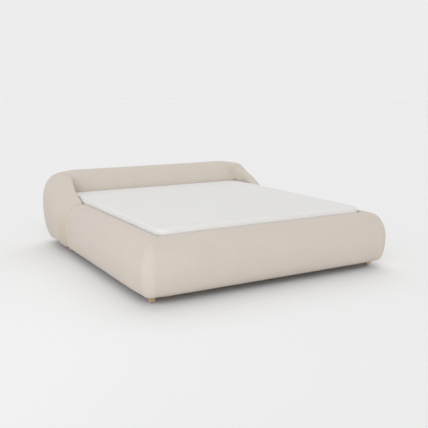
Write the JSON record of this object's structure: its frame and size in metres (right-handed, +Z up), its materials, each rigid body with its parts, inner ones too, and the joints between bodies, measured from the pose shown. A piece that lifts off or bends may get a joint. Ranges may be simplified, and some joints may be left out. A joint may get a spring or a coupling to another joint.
{
  "type": "upholstered bed",
  "caption": "Low upholstered double bed: a rolled headboard wraps round as wings into bulging rails; slatted base, mattress and topper.",
  "frame": {"origin": "on the floor under the middle of the bed's overall length and width", "axes": "+Z up, +Y towards the headboard, +X to the right seen from the foot"},
  "size_m": [2.23, 2.532, 0.686],
  "materials": {
    "upholstery": "smooth tight woven cloth, matt",
    "mattress_cover": "white knitted mattress cover",
    "topper_cover": "white quilted topper cover",
    "oak": "light oak, matt oil",
    "glide_plastic": "matt",
    "fastener_steel": "zinc plated",
    "holder_plastic": "matt",
    "beech_slat": "clear lacquer",
    "painted_steel": "satin black powder coat",
    "plywood": "raw birch plywood",
    "pine": "raw pine"
  },
  "bodies": {
    "bed_frame": {"centre_beam": "painted_steel", "centre_beam_hangers": "painted_steel", "centre_leg_glides": "glide_plastic", "centre_legs": "painted_steel", "centre_slat_holders": "holder_plastic", "corner_brackets": "painted_steel", "fitting_bolts": "fastener_steel", "foot_rail_board": "pine", "foot_rail_bottom_board": "plywood", "foot_rail_formers": "plywood", "foot_rail_pad": "upholstery", "headboard_bottom_board": "plywood", "headboard_formers": "plywood", "headboard_pad": "upholstery", "headboard_rail_board": "pine", "headboard_top_batten": "pine", "ledge_screws": "fastener_steel", "leg_bolts": "fastener_steel", "leg_foot_left": "oak", "leg_foot_right": "oak", "leg_glides": "glide_plastic", "leg_head_left": "oak", "leg_head_right": "oak", "leg_wing_left": "oak", "leg_wing_right": "oak", "seam_plates": "painted_steel", "side_rail_board_left": "pine", "side_rail_board_right": "pine", "side_rail_bottom_board_left": "plywood", "side_rail_bottom_board_right": "plywood", "side_rail_formers_left": "plywood", "side_rail_formers_right": "plywood", "side_rail_ledge_left": "pine", "side_rail_ledge_right": "pine", "side_rail_pad_left": "upholstery", "side_rail_pad_right": "upholstery", "side_slat_holders_left": "holder_plastic", "side_slat_holders_right": "holder_plastic", "slats_left": "beech_slat", "slats_right": "beech_slat", "wing_board_left": "pine", "wing_board_right": "pine", "wing_bottom_board_left": "plywood", "wing_bottom_board_right": "plywood", "wing_formers_left": "plywood", "wing_formers_right": "plywood", "wing_ledge_left": "pine", "wing_ledge_right": "pine", "wing_pad_left": "upholstery", "wing_pad_right": "upholstery"},
    "mattress": {"mattress": "mattress_cover"},
    "topper": {"topper": "topper_cover"}
  },
  "joints": [
    {"name": "mattress_lift", "type": "slide", "parent": "bed_frame", "child": "mattress", "axis": [0, 0, 1], "range_m": [0, 0.48]},
    {"name": "topper_lift", "type": "slide", "parent": "mattress", "child": "topper", "axis": [0, 0, 1], "range_m": [0, 0.27]}
  ]
}
